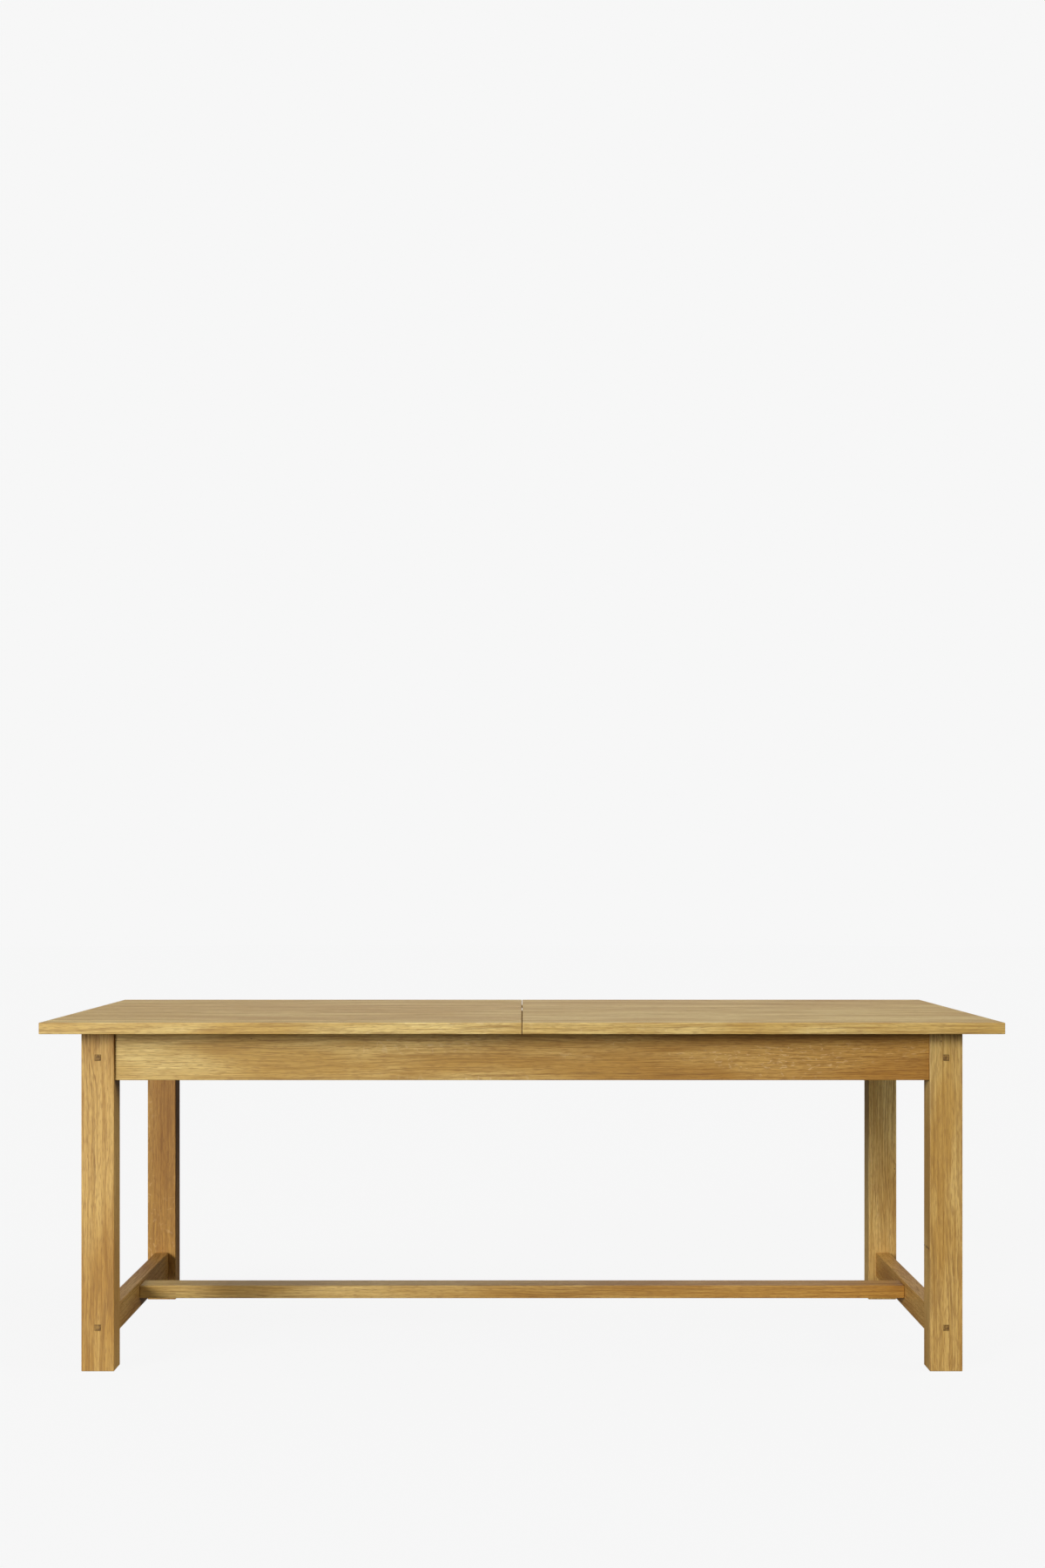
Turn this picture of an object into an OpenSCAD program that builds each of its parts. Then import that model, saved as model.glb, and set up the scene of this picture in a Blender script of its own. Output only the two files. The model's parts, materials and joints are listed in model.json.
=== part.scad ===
// Extending dining table in oak. Two halves of the top part at a centre seam and run out over a
// fixed frame with an H stretcher; a folded leaf is stored under the seam.
// Millimetres, +Z up, +X along the table, origin on the floor under the table's centre.

/* [Top] */
// Length of the closed table
table_l = 2100; // [2060:5:2200]
// Depth of the table
table_d = 1050; // [1040:5:1120]
// Height of the top face above the floor
table_h = 770; // [750:1:800]
// Thickness of the top and of the leaf
top_t = 25; // [24:1:28]
// Gap at the seam between the two halves
seam_w = 2; // [1:0.5:3]

/* [Frame] */
// Side of a square leg
leg_w = 72; // [68:1:80]
// Overhang of the top past the legs at each end
end_overhang = 82; // [70:1:90]
// Overhang of the top past the legs at the long sides
side_overhang = 55; // [50:1:62]
// Setback of the aprons from the legs' outer faces
apron_setback = 6; // [3:1:10]
// Thickness of the aprons
apron_t = 25; // [22:1:28]
// Height of the aprons
apron_h = 102; // [100:1:110]
// Gap between the top and the fixed frame
slide_gap = 3; // [2:0.5:4]

/* [Stretchers] */
// Thickness of an end stretcher
end_stretcher_t = 34; // [30:1:40]
// Height of an end stretcher
end_stretcher_h = 62; // [56:1:70]
// Height of the end stretchers' lower edge above the floor
end_stretcher_z = 60; // [50:1:90]
// Width of the centre stretcher
centre_stretcher_w = 73; // [60:1:90]
// Thickness of the centre stretcher
centre_stretcher_t = 30.5; // [26:0.5:34]
// Side of the square pegs that show on the legs
peg_w = 13; // [12:1:15]
// Height of the apron pegs' centres above the floor
peg_z = 690; // [675:1:705]

/* [Extension] */
// Furthest travel of each half of the top
travel = 255; // [252:1:256]
// Width of the leaf along the table
leaf_w = 500; // [480:1:500]
// Module of the pinion and rack teeth
tooth_module = 2; // [2:1:2]
// Number of teeth on a pinion
pinion_teeth = 18; // [18:1:18]
// Height of the runners under the top
runner_h = 55; // [54:1:56]
// Radius of the slide balls
ball_r = 2.85; // [2.6:0.05:2.9]
// Travel of a seam bolt
bolt_travel = 22; // [18:1:22]

/* [Hidden] */
$fn = 48;

oak = "#c99b62";
end_grain = "#8a5a34";
beech = "#d9b184";
steel = "#b9bcc0";
nylon = "#ece8dc";
brass = "#b8954a";

// Levels
underside_z = table_h - top_t;
frame_z = underside_z - slide_gap;
apron_z = frame_z - apron_h;
glide_proud = 1;

// Legs, as they stand in the quarter of the table where X and Y are positive
leg_x1 = table_l / 2 - end_overhang;
leg_x0 = leg_x1 - leg_w;
leg_y1 = table_d / 2 - side_overhang;
leg_y0 = leg_y1 - leg_w;
leg_cx = leg_x0 + leg_w / 2;
leg_cy = leg_y0 + leg_w / 2;

// Aprons and their tenons
apron_y1 = leg_y1 - apron_setback;
apron_y0 = apron_y1 - apron_t;
apron_x1 = leg_x1 - apron_setback;
apron_x0 = apron_x1 - apron_t;
tenon_t = 12;
tenon_shoulder = 15;
side_tenon_l = 45;
end_tenon_l = 30;
peg_l = 40;

// Stretchers and their bolts
end_stretcher_x0 = leg_cx - end_stretcher_t / 2;
bolt_z = end_stretcher_z + end_stretcher_h / 2 + 6;
centre_stretcher_z = bolt_z - 14;
stretcher_tenon_l = 10;
stretcher_tenon_w = 20;
centre_tenon_l = 12;
recess_l = 20;
plug_l = 10;
frame_bolt_r = 3;
frame_bolt_l = 90;
nut_r = 5;
nut_y = leg_y0 - 30;

// Corner braces
brace_h = 40;
brace_z = apron_z + 5;
brace_reach = apron_y0 + leg_x0 - 46;
brace_t = 25;
brace_bolt_r = 4;

// Cross rails that carry the slides
rail_w = 45;
rail_h = 43;
rail_z = apron_z + 5;
rail_top = rail_z + rail_h;
rail_tenon_l = 8;
inner_rail_x = 290;
outer_rail_x = 700;

// Fixed timber rails, slides and runners, from the centre outwards
fixed_rail_y0 = 300;
fixed_rail_t = 22;
fixed_rail_h = 45;
fixed_rail_l = 1440;
channel_y0 = fixed_rail_y0 + fixed_rail_t;
channel_w = 13;
channel_t = 1.2;
channel_l = 500;
channel_x0 = 160;
channel_z = rail_top + 24.5;
outer_half_h = 22.5;
outer_flange_w = 11;
inner_half_h = 15;
inner_flange_u = 4;
ball_z = (outer_half_h - channel_t + inner_half_h) / 2;
ball_u = 7;
ball_pitch = 30;
ball_count = 8;
cage_l = 240;
cage_t = 1;
cage_u = 2;
cage_w = 8.8;
cage_x = channel_x0 + channel_l / 2;
runner_y0 = channel_y0 + channel_w;
runner_t = 22;
runner_x0 = 20;
runner_l = 640;
runner_z = underside_z - runner_h;

// Screws into the top
screw_r = 2.5;
screw_head_r = 5;
screw_pocket_r = 6;
screw_bite = 15;
screw_grip = 34;
runner_screw_x = [100, 260, 420, 580];

// Anti-warp cleats
cleat_w = 50;
cleat_h = 23;
cleat_l = 580;
cleat_x0 = [95, 560];
cleat_screw_y = [-220, 0, 220];
cleat_grip = 15;

// Pinions and racks
pinion_y = 390;
pitch_r = tooth_module * pinion_teeth / 2;
pressure_angle = 20;
addendum = tooth_module;
dedendum = 1.25 * tooth_module;
backlash = 0.4;
rack_pitch = PI * tooth_module;
rack_back = 12;
rack_z = underside_z - 30;
rack_h = 12;
rack_reach = travel + 15;
rack_tail = 200;
rack_tooth_start = -24;
pad_x1 = -20;
pad_w = rack_back - dedendum;
axle_r = 4;
running_gap = 0.05;
pinion_z = rack_z - 1;
pinion_h = 14;
axial_gap = 0.3;
bracket_z = rack_z - 15;
bracket_t = 4;
bracket_w = 34;
bracket_flange_t = 2;
bracket_flange_h = 30;
shoulder_r = 7;
clip_t = 1.2;
clip_r = 7.5;
groove_r = 3.2;

// Leaf, stored folded with its underside inwards
leaf_d = table_d / 2;
leaf_z = rail_z + 20;
dowel_r = 4;
dowel_hole_r = 4.3;
dowel_in = 18;
dowel_out = 12;
dowel_hole_l = 15;
dowel_y = [140, 420];
bearer_y = 180;
bearer_w = 40;
hinge_x = [-180, 0, 180];
hinge_l = 51;
hinge_leaf_w = 25;
hinge_leaf_t = 1.5;
knuckle_r = 2.5;
knuckle_gap = 0.2;
hinge_pin_r = 1.2;

// Seam bolts
seam_bolt_y = 281;
seam_bolt_r = 4;
seam_bolt_l = 50;
seam_bolt_x0 = 6;
housing_x0 = 4;
housing_l = 70;
housing_w = 26;
housing_h = 16;
keeper_l = 34;
keeper_bore_l = 24;
keeper_bore_r = 4.5;
seam_bolt_z = underside_z - 8;
knob_x = 52;
knob_r = 2.2;
knob_drop = 17;
knob_ball_r = 4.5;
knob_slot_gap = 0.4;

function half_tooth_angle() = 90 / pinion_teeth - backlash / 4 / pitch_r * 180 / PI;
function inv_deg(a) = tan(a) * 180 / PI - a;
function flank_angle(r) = half_tooth_angle() + inv_deg(pressure_angle)
    - inv_deg(acos(min(1, base_r / r)));
function polar(r, a) = [r * sin(a), r * cos(a)];
base_r = pitch_r * cos(pressure_angle);
flank_steps = 5;
flank_radii = [for (i = [0 : flank_steps]) base_r + (pitch_r + addendum - base_r) * i / flank_steps];

// Turns the children drawn in the positive quarter into another quarter
module quarter(sx, sy) {
    mirror([sx < 0 ? 1 : 0, 0, 0]) mirror([0, sy < 0 ? 1 : 0, 0]) children();
}

// Places the children in all four quarters
module four_quarters() {
    for (sx = [-1, 1], sy = [-1, 1]) quarter(sx, sy) children();
}

// A cylinder along X or along Y from a given point
module rod_x(at, r, l) {
    translate(at) rotate([0, 90, 0]) cylinder(r = r, h = l);
}

module rod_y(at, r, l) {
    translate(at) rotate([-90, 0, 0]) cylinder(r = r, h = l);
}

// Top halves, drawn for the right hand side ---------------------------------------------------

module screw_holes_in_top() {
    for (sy = [-1, 1], x = runner_screw_x)
        translate([x, sy * (runner_y0 + runner_t / 2), underside_z - 1])
            cylinder(r = screw_r, h = screw_bite + 1);
    for (x0 = cleat_x0, y = cleat_screw_y)
        translate([x0 + cleat_w / 2, y, underside_z - 1]) cylinder(r = screw_r, h = screw_bite + 1);
}

module top_panel() {
    translate([seam_w / 2, -table_d / 2, underside_z])
        cube([(table_l - seam_w) / 2, table_d, top_t]);
}

module top_left() color(oak) difference() {
    mirror([1, 0, 0]) difference() {
        top_panel();
        screw_holes_in_top();
    }
    for (sy = [-1, 1], y = dowel_y)
        rod_x([-seam_w / 2 - dowel_in, sy * y, underside_z + top_t / 2], dowel_r, dowel_in + 1);
}

module top_right() color(oak) difference() {
    top_panel();
    screw_holes_in_top();
    for (sy = [-1, 1], y = dowel_y)
        rod_x([0, sy * y, underside_z + top_t / 2], dowel_hole_r, dowel_hole_l + seam_w / 2);
}

module seam_dowels() color(beech)
    for (sy = [-1, 1], y = dowel_y)
        rod_x([-seam_w / 2 - dowel_in, sy * y, underside_z + top_t / 2], dowel_r, dowel_in + dowel_out);

// Frame ---------------------------------------------------------------------------------------

module side_tenon() {
    translate([leg_x0, apron_y0 + (apron_t - tenon_t) / 2, apron_z + tenon_shoulder])
        cube([side_tenon_l, tenon_t, apron_h - 2 * tenon_shoulder]);
}

module end_tenon() {
    translate([apron_x0 + (apron_t - tenon_t) / 2, leg_y0, apron_z + tenon_shoulder])
        cube([tenon_t, end_tenon_l, apron_h - 2 * tenon_shoulder]);
}

module stretcher_tenon() {
    translate([leg_cx - stretcher_tenon_w / 2, leg_y0, end_stretcher_z + 10])
        cube([stretcher_tenon_w, stretcher_tenon_l, end_stretcher_h - 20]);
}

module peg(z, l) {
    translate([leg_cx - peg_w / 2, leg_y1 - l, z - peg_w / 2]) cube([peg_w, l, peg_w]);
}

module frame_bolt_shank() {
    rod_y([leg_cx, leg_y1 - recess_l - frame_bolt_l, bolt_z], frame_bolt_r, frame_bolt_l);
}

// The bolt that ties a corner brace to the leg runs along the diagonal through the leg's corner
module brace_bolt_line(from, l, r) {
    translate([leg_x0, leg_y0, brace_z + brace_h / 2]) rotate([0, 0, 45])
        translate([from, 0, 0]) rotate([0, 90, 0]) cylinder(r = r, h = l);
}

module leg(sx, sy) color(oak) quarter(sx, sy) difference() {
    translate([leg_x0, leg_y0, glide_proud]) cube([leg_w, leg_w, frame_z - glide_proud]);
    side_tenon();
    end_tenon();
    stretcher_tenon();
    peg(peg_z, peg_l);
    peg(bolt_z, recess_l);
    frame_bolt_shank();
    brace_bolt_line(-2, 32, brace_bolt_r);
    translate([leg_cx, leg_cy, 0]) cylinder(r = 16, h = 5);
}

module leg_front_left() leg(-1, -1);
module leg_front_right() leg(1, -1);
module leg_rear_left() leg(-1, 1);
module leg_rear_right() leg(1, 1);

module side_apron(sy) color(oak) quarter(1, sy) difference() {
    union() {
        translate([-leg_x0, apron_y0, apron_z]) cube([2 * leg_x0, apron_t, apron_h]);
        side_tenon();
        mirror([1, 0, 0]) side_tenon();
    }
    for (sx = [-1, 1]) quarter(sx, 1) {
        peg(peg_z, peg_l);
        rail_tenon(inner_rail_x);
        rail_tenon(outer_rail_x);
    }
}

module apron_front() side_apron(-1);
module apron_rear() side_apron(1);

module end_apron(sx) color(oak) quarter(sx, 1) union() {
    translate([apron_x0, -leg_y0, apron_z]) cube([apron_t, 2 * leg_y0, apron_h]);
    end_tenon();
    mirror([0, 1, 0]) end_tenon();
}

module apron_left() end_apron(-1);
module apron_right() end_apron(1);

module centre_tenon() {
    translate([leg_cx - end_stretcher_t / 2 - 1, -27, centre_stretcher_z + 7])
        cube([centre_tenon_l + 1, 54, centre_stretcher_t - 14]);
}

module end_stretcher(sx) color(oak) quarter(sx, 1) difference() {
    union() {
        translate([end_stretcher_x0, -leg_y0, end_stretcher_z])
            cube([end_stretcher_t, 2 * leg_y0, end_stretcher_h]);
        stretcher_tenon();
        mirror([0, 1, 0]) stretcher_tenon();
    }
    centre_tenon();
    for (sy = [-1, 1]) quarter(1, sy) {
        frame_bolt_shank();
        rod_x([end_stretcher_x0 - 1, nut_y, bolt_z], nut_r, 30);
    }
}

module end_stretcher_left() end_stretcher(-1);
module end_stretcher_right() end_stretcher(1);

module centre_stretcher() color(oak) {
    translate([-end_stretcher_x0, -centre_stretcher_w / 2, centre_stretcher_z])
        cube([2 * end_stretcher_x0, centre_stretcher_w, centre_stretcher_t]);
    for (sx = [-1, 1]) quarter(sx, 1) centre_tenon();
}

module apron_pegs() color(end_grain) four_quarters() peg(peg_z, peg_l);

module stretcher_bolt_plugs() color(end_grain) four_quarters() peg(bolt_z, plug_l);

module stretcher_bolts() color(steel) four_quarters() {
    frame_bolt_shank();
    difference() {
        rod_y([leg_cx, leg_y1 - recess_l, bolt_z], 5, 6);
        rod_y([leg_cx, leg_y1 - recess_l + 3, bolt_z], 2.5, 4, $fn = 6);
    }
}

module barrel_nuts() color(steel) four_quarters() difference() {
    rod_x([end_stretcher_x0 + 6, nut_y, bolt_z], nut_r, 23);
    frame_bolt_shank();
}

module corner_braces() color(beech) four_quarters() difference() {
    translate([0, 0, brace_z]) linear_extrude(brace_h) polygon([
        [brace_reach - apron_y0, apron_y0],
        [apron_x0, brace_reach - apron_x0],
        [apron_x0, brace_reach - apron_x0 - brace_t * sqrt(2)],
        [brace_reach - apron_y0 - brace_t * sqrt(2), apron_y0]]);
    brace_bolt_line(-80, 90, brace_bolt_r);
}

module brace_bolts() color(steel) four_quarters() {
    brace_bolt_line(-38, 68, brace_bolt_r);
    difference() {
        brace_bolt_line(-(leg_x0 + leg_y0 - brace_reach) / sqrt(2) - brace_t - 6.5, 6.5, 7.5, $fn = 6);
        brace_bolt_line(-60, 60, brace_bolt_r);
    }
}

module floor_glides() color(nylon) four_quarters()
    translate([leg_cx, leg_cy, 0]) cylinder(r = 16, h = 5);

// Rails under the top -------------------------------------------------------------------------

module rail_tenon(x) {
    translate([x - rail_w / 2 + 8, apron_y0, rail_z + 8])
        cube([rail_w - 16, rail_tenon_l, rail_h - 16]);
}

module rail_screw_line(x, from, l, r) {
    translate([x, fixed_rail_y0 + fixed_rail_t / 2, from]) cylinder(r = r, h = l);
}

module cross_rail(x) difference() {
    union() {
        translate([x - rail_w / 2, -apron_y0, rail_z]) cube([rail_w, 2 * apron_y0, rail_h]);
        rail_tenon(x);
        mirror([0, 1, 0]) rail_tenon(x);
    }
    for (sy = [-1, 1]) quarter(1, sy) {
        rail_screw_line(x, rail_z - 1, 11, screw_pocket_r);
        rail_screw_line(x, rail_z, rail_h + 1, screw_r);
    }
}

module cross_rails_inner() color(beech) for (sx = [-1, 1]) quarter(sx, 1) cross_rail(inner_rail_x);

module cross_rails_outer() color(beech) for (sx = [-1, 1]) quarter(sx, 1) cross_rail(outer_rail_x);

module fixed_rail(sy) color(beech) quarter(1, sy) difference() {
    translate([-fixed_rail_l / 2, fixed_rail_y0, rail_top])
        cube([fixed_rail_l, fixed_rail_t, fixed_rail_h]);
    for (sx = [-1, 1], x = [inner_rail_x, outer_rail_x])
        rail_screw_line(sx * x, rail_top - 1, 26, screw_r);
}

module fixed_rail_front() fixed_rail(-1);
module fixed_rail_rear() fixed_rail(1);

module rail_screws() color(steel) four_quarters() for (x = [inner_rail_x, outer_rail_x]) {
    rail_screw_line(x, rail_z + 10, rail_h - 10 + 25, screw_r);
    difference() {
        rail_screw_line(x, rail_z + 7, 3, screw_head_r);
        translate([0, 0, -0.5]) rail_screw_line(x, rail_z + 7, 2, 2, $fn = 6);
    }
}

// Ball slides. Profiles are drawn with u outwards from the fixed rail and z from the slide's axis

module slide_profile_at(x0, l) {
    translate([x0, channel_y0, channel_z]) rotate([90, 0, 90]) linear_extrude(l) children();
}

module fixed_channel_profile() {
    difference() {
        translate([0, -outer_half_h]) square([outer_flange_w, 2 * outer_half_h]);
        translate([channel_t, -outer_half_h + channel_t])
            square([outer_flange_w, 2 * (outer_half_h - channel_t)]);
    }
}

module moving_channel_profile() {
    difference() {
        translate([inner_flange_u, -inner_half_h])
            square([channel_w - inner_flange_u, 2 * inner_half_h]);
        translate([inner_flange_u - 1, -inner_half_h + channel_t])
            square([channel_w - inner_flange_u - channel_t + 1, 2 * (inner_half_h - channel_t)]);
    }
}

module cage_profile() {
    difference() {
        translate([cage_u, -ball_z - cage_t / 2]) square([cage_w, 2 * ball_z + cage_t]);
        translate([cage_u + cage_t, -ball_z + cage_t / 2]) square([cage_w, 2 * ball_z - cage_t]);
    }
}

module fixed_channels(sy) color(steel) for (sx = [-1, 1])
    quarter(sx, sy) slide_profile_at(channel_x0, channel_l) fixed_channel_profile();

module fixed_channels_front() fixed_channels(-1);
module fixed_channels_rear() fixed_channels(1);

module moving_channels(sx) color(steel) for (sy = [-1, 1])
    quarter(sx, sy) slide_profile_at(channel_x0, channel_l) moving_channel_profile();

module moving_channels_left() moving_channels(-1);
module moving_channels_right() moving_channels(1);

module at_balls() {
    for (i = [0 : ball_count - 1], s = [-1, 1])
        translate([cage_x + (i - (ball_count - 1) / 2) * ball_pitch,
            channel_y0 + ball_u, channel_z + s * ball_z]) children();
}

module ball_cage(sx, sy) color(steel) quarter(sx, sy) {
    difference() {
        slide_profile_at(cage_x - cage_l / 2, cage_l) cage_profile();
        at_balls() cylinder(r = ball_r + 0.15, h = 3 * cage_t, center = true);
    }
    at_balls() sphere(r = ball_r);
}

module ball_cage_front_left() ball_cage(-1, -1);
module ball_cage_front_right() ball_cage(1, -1);
module ball_cage_rear_left() ball_cage(-1, 1);
module ball_cage_rear_right() ball_cage(1, 1);

// Runners, cleats and the screws that hold them to the top ------------------------------------

module runner(sx, sy) color(beech) quarter(sx, sy) difference() {
    translate([runner_x0, runner_y0, runner_z]) cube([runner_l, runner_t, runner_h]);
    for (x = runner_screw_x) translate([x, runner_y0 + runner_t / 2, 0]) {
        translate([0, 0, runner_z - 1]) cylinder(r = screw_r, h = runner_h + 2);
        translate([0, 0, runner_z - 1])
            cylinder(r = screw_pocket_r, h = runner_h - screw_grip + 1);
    }
}

module runner_front_left() runner(-1, -1);
module runner_front_right() runner(1, -1);
module runner_rear_left() runner(-1, 1);
module runner_rear_right() runner(1, 1);

module cleats(sx) color(beech) quarter(sx, 1) difference() {
    for (x0 = cleat_x0) translate([x0, -cleat_l / 2, underside_z - cleat_h])
        cube([cleat_w, cleat_l, cleat_h]);
    for (x0 = cleat_x0, y = cleat_screw_y)
        translate([x0 + cleat_w / 2, y, underside_z - cleat_h - 1]) {
            cylinder(r = screw_r, h = cleat_h + 2);
            cylinder(r = screw_pocket_r, h = cleat_h - cleat_grip + 1);
        }
}

module cleats_left() cleats(-1);
module cleats_right() cleats(1);

// A wood screw from below: grip is the timber under the top that it clamps
module top_screw(grip) {
    translate([0, 0, underside_z - grip]) cylinder(r = screw_r, h = grip + screw_bite);
    difference() {
        translate([0, 0, underside_z - grip - 3]) cylinder(r = screw_head_r, h = 3);
        translate([0, 0, underside_z - grip - 3.5]) cylinder(r = 2, h = 2, $fn = 6);
    }
}

module top_screws(sx) color(steel) quarter(sx, 1) {
    for (sy = [-1, 1], x = runner_screw_x)
        translate([x, sy * (runner_y0 + runner_t / 2), 0]) top_screw(screw_grip);
    for (x0 = cleat_x0, y = cleat_screw_y)
        translate([x0 + cleat_w / 2, y, 0]) top_screw(cleat_grip);
}

module top_screws_left() top_screws(-1);
module top_screws_right() top_screws(1);

// Racks and pinions ---------------------------------------------------------------------------

// A straight rack with a tooth space centred at X = 0; y grows from its pitch line to the pinion
module rack_profile(x0, x1, teeth_from) {
    half = (rack_pitch - backlash / 2) / 4;
    tip = half - addendum * tan(pressure_angle);
    root = half + dedendum * tan(pressure_angle);
    first = ceil(teeth_from / rack_pitch);
    last = floor((x1 - root) / rack_pitch - 0.5);
    teeth = [for (k = [first : last], p = [[-root, -dedendum], [-tip, addendum],
            [tip, addendum], [root, -dedendum]]) [(k + 0.5) * rack_pitch + p[0], p[1]]];
    polygon(concat([[x0, -rack_back], [x0, -dedendum]], teeth, [[x1, -dedendum], [x1, -rack_back]]));
}

module rack_bar() {
    translate([0, 0, rack_z]) linear_extrude(rack_h)
        rack_profile(-rack_tail, rack_reach, rack_tooth_start);
    translate([-rack_tail, -rack_back, rack_z])
        cube([rack_tail + pad_x1, pad_w, underside_z - rack_z]);
}

// The left half's rack runs on the inner side of the pinion, the right half's on the outer side
module rack_left(sy) color(nylon) quarter(1, sy) translate([0, pinion_y - pitch_r, 0]) rack_bar();

module rack_right(sy) color(nylon) quarter(-1, sy)
    translate([0, pinion_y + pitch_r, 0]) mirror([0, 1, 0]) rack_bar();

module rack_front_left() rack_left(-1);
module rack_front_right() rack_right(-1);
module rack_rear_left() rack_left(1);
module rack_rear_right() rack_right(1);

module pinion_profile() {
    polygon([for (k = [0 : pinion_teeth - 1]) let (c = k * 360 / pinion_teeth) each concat(
        [polar(pitch_r - dedendum, c - flank_angle(base_r))],
        [for (r = flank_radii) polar(r, c - flank_angle(r))],
        [for (i = [flank_steps : -1 : 0]) polar(flank_radii[i], c + flank_angle(flank_radii[i]))],
        [polar(pitch_r - dedendum, c + flank_angle(base_r))])]);
}

module pinion(sy) color(nylon) quarter(1, sy) translate([0, pinion_y, pinion_z]) difference() {
    linear_extrude(pinion_h) pinion_profile();
    translate([0, 0, -1]) cylinder(r = axle_r + running_gap, h = pinion_h + 2);
}

module pinion_front() pinion(-1);
module pinion_rear() pinion(1);

module pinion_brackets() color(steel) for (sy = [-1, 1]) quarter(1, sy) difference() {
    union() {
        translate([-bracket_w / 2, channel_y0, bracket_z])
            cube([bracket_w, apron_y0 - channel_y0, bracket_t]);
        translate([-bracket_w / 2, apron_y0 - bracket_flange_t, bracket_z - bracket_flange_h])
            cube([bracket_w, bracket_flange_t, bracket_flange_h + bracket_t]);
        translate([-bracket_w / 2, channel_y0, bracket_z])
            cube([bracket_w, bracket_flange_t, bracket_flange_h]);
    }
    translate([0, pinion_y, bracket_z - 1]) cylinder(r = axle_r, h = bracket_t + 2);
}

module pinion_axles() color(steel) for (sy = [-1, 1]) translate([0, sy * pinion_y, 0]) difference() {
    union() {
        translate([0, 0, bracket_z - 4]) cylinder(r = shoulder_r, h = 4);
        translate([0, 0, bracket_z - 1]) cylinder(r = axle_r, h = pinion_z + pinion_h + 3 - bracket_z + 1);
        translate([0, 0, bracket_z + bracket_t])
            cylinder(r = shoulder_r, h = pinion_z - axial_gap - bracket_z - bracket_t);
    }
    translate([0, 0, pinion_z + pinion_h + axial_gap]) difference() {
        cylinder(r = axle_r + 1, h = clip_t);
        cylinder(r = groove_r, h = clip_t);
    }
}

module axle_clips() color(steel) for (sy = [-1, 1])
    translate([0, sy * pinion_y, pinion_z + pinion_h + axial_gap]) difference() {
        cylinder(r = clip_r, h = clip_t);
        translate([0, 0, -1]) cylinder(r = groove_r, h = clip_t + 2);
        translate([-1.5, 0, -1]) cube([3, clip_r + 1, clip_t + 2]);
    }

// Leaf ----------------------------------------------------------------------------------------

// Dowels stand this far in from the hinged edge on both halves, so they meet those of the top
function leaf_dowel_y(y) = leaf_d / 2 - y;

module leaf_half(z, hinge_recess_z) color(oak) difference() {
    translate([-leaf_w / 2, -leaf_d / 2, z]) cube([leaf_w, leaf_d, top_t]);
    for (y = dowel_y) {
        rod_x([-leaf_w / 2 - 1, leaf_dowel_y(y), z + top_t / 2], dowel_hole_r, dowel_hole_l + 1);
        rod_x([leaf_w / 2 - dowel_in, leaf_dowel_y(y), z + top_t / 2], dowel_r, dowel_in + 1);
    }
    for (x = hinge_x) translate([x - hinge_l / 2, leaf_d / 2 - hinge_leaf_w, hinge_recess_z])
        cube([hinge_l, hinge_leaf_w + 1, hinge_leaf_t]);
}

module leaf_lower() leaf_half(leaf_z, leaf_z + top_t - hinge_leaf_t);
module leaf_upper() leaf_half(leaf_z + top_t, leaf_z + top_t);

module leaf_dowels() color(beech) for (z = [leaf_z, leaf_z + top_t], y = dowel_y)
    rod_x([leaf_w / 2 - dowel_in, leaf_dowel_y(y), z + top_t / 2], dowel_r, dowel_in + dowel_out);

// Half of a butt hinge: a plate let into the leaf with knuckles between the given fractions
module hinge_half(side, knuckles) difference() {
    union() {
        translate([-hinge_l / 2, -hinge_leaf_w, side > 0 ? 0 : -hinge_leaf_t])
            cube([hinge_l, hinge_leaf_w, hinge_leaf_t]);
        for (k = knuckles) translate([(k - 1.5) * hinge_l / 3 + knuckle_gap / 2, 0, 0]) {
            translate([0, -0.5, side > 0 ? 0 : -hinge_leaf_t])
                cube([hinge_l / 3 - knuckle_gap, knuckle_r + 0.5, hinge_leaf_t]);
            rod_x([0, knuckle_r, 0], knuckle_r, hinge_l / 3 - knuckle_gap);
        }
    }
    rod_x([-hinge_l / 2 - 1, knuckle_r, 0], hinge_pin_r, hinge_l + 2);
}

module leaf_hinges() color(brass)
    for (x = hinge_x) translate([x, leaf_d / 2, leaf_z + top_t]) {
        hinge_half(1, [1]);
        hinge_half(-1, [0, 2]);
        rod_x([-hinge_l / 2, knuckle_r, 0], hinge_pin_r, hinge_l);
    }

module leaf_bearers() color(beech) for (sy = [-1, 1])
    translate([-inner_rail_x + rail_w / 2, sy * bearer_y - bearer_w / 2, rail_z])
        cube([2 * inner_rail_x - rail_w, bearer_w, leaf_z - rail_z]);

// Seam bolts ----------------------------------------------------------------------------------

module bolt_housings() color(brass) for (sy = [-1, 1]) quarter(1, sy) difference() {
    translate([housing_x0, seam_bolt_y - housing_w / 2, underside_z - housing_h])
        cube([housing_l, housing_w, housing_h]);
    rod_x([housing_x0 - 1, seam_bolt_y, seam_bolt_z], seam_bolt_r + 0.08, housing_l + 2);
    translate([knob_x - bolt_travel - knob_r - knob_slot_gap,
        seam_bolt_y - knob_r - knob_slot_gap, underside_z - housing_h - 1])
        cube([bolt_travel + 2 * (knob_r + knob_slot_gap), 2 * (knob_r + knob_slot_gap), housing_h / 2]);
}

module seam_bolt(sy) color(brass) quarter(1, sy) union() {
    rod_x([seam_bolt_x0, seam_bolt_y, seam_bolt_z], seam_bolt_r, seam_bolt_l);
    translate([knob_x, seam_bolt_y, seam_bolt_z - knob_drop]) {
        cylinder(r = knob_r, h = knob_drop);
        sphere(r = knob_ball_r);
    }
}

module seam_bolt_front() seam_bolt(-1);
module seam_bolt_rear() seam_bolt(1);

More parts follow.
